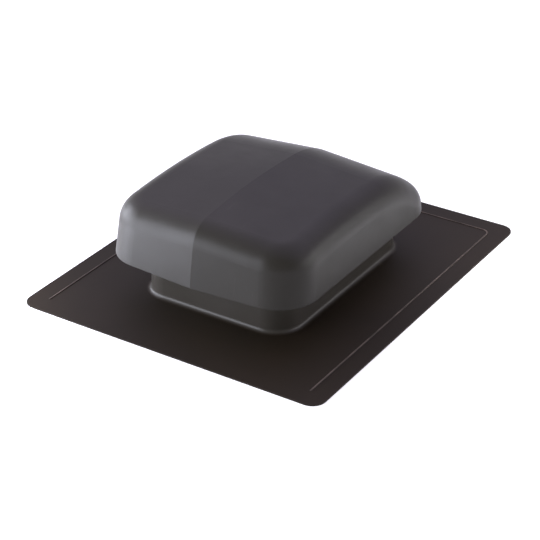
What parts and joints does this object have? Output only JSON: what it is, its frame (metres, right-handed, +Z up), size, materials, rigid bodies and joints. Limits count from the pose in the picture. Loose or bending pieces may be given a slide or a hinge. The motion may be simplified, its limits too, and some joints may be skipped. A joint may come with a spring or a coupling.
{
  "type": "roof vent",
  "caption": "Static roof vent: flat flange with a raised bead, rounded collar and an overhanging creased hood that sheds rain while attic air leaves below its edge.",
  "frame": {"origin": "on the roof plane, under the middle of the flange", "axes": "+Z up from the roof, -Y towards the front, which faces down the roof; X across the flange"},
  "size_m": [0.406, 0.478, 0.1376],
  "materials": {
    "base_plastic": "satin",
    "hood_plastic": "satin",
    "screen_plastic": "satin",
    "zinc_steel": "zinc plated"
  },
  "bodies": {
    "root": {"base": "base_plastic", "hood": "hood_plastic", "insect_screen": "screen_plastic", "screws": "zinc_steel"}
  },
  "joints": []
}
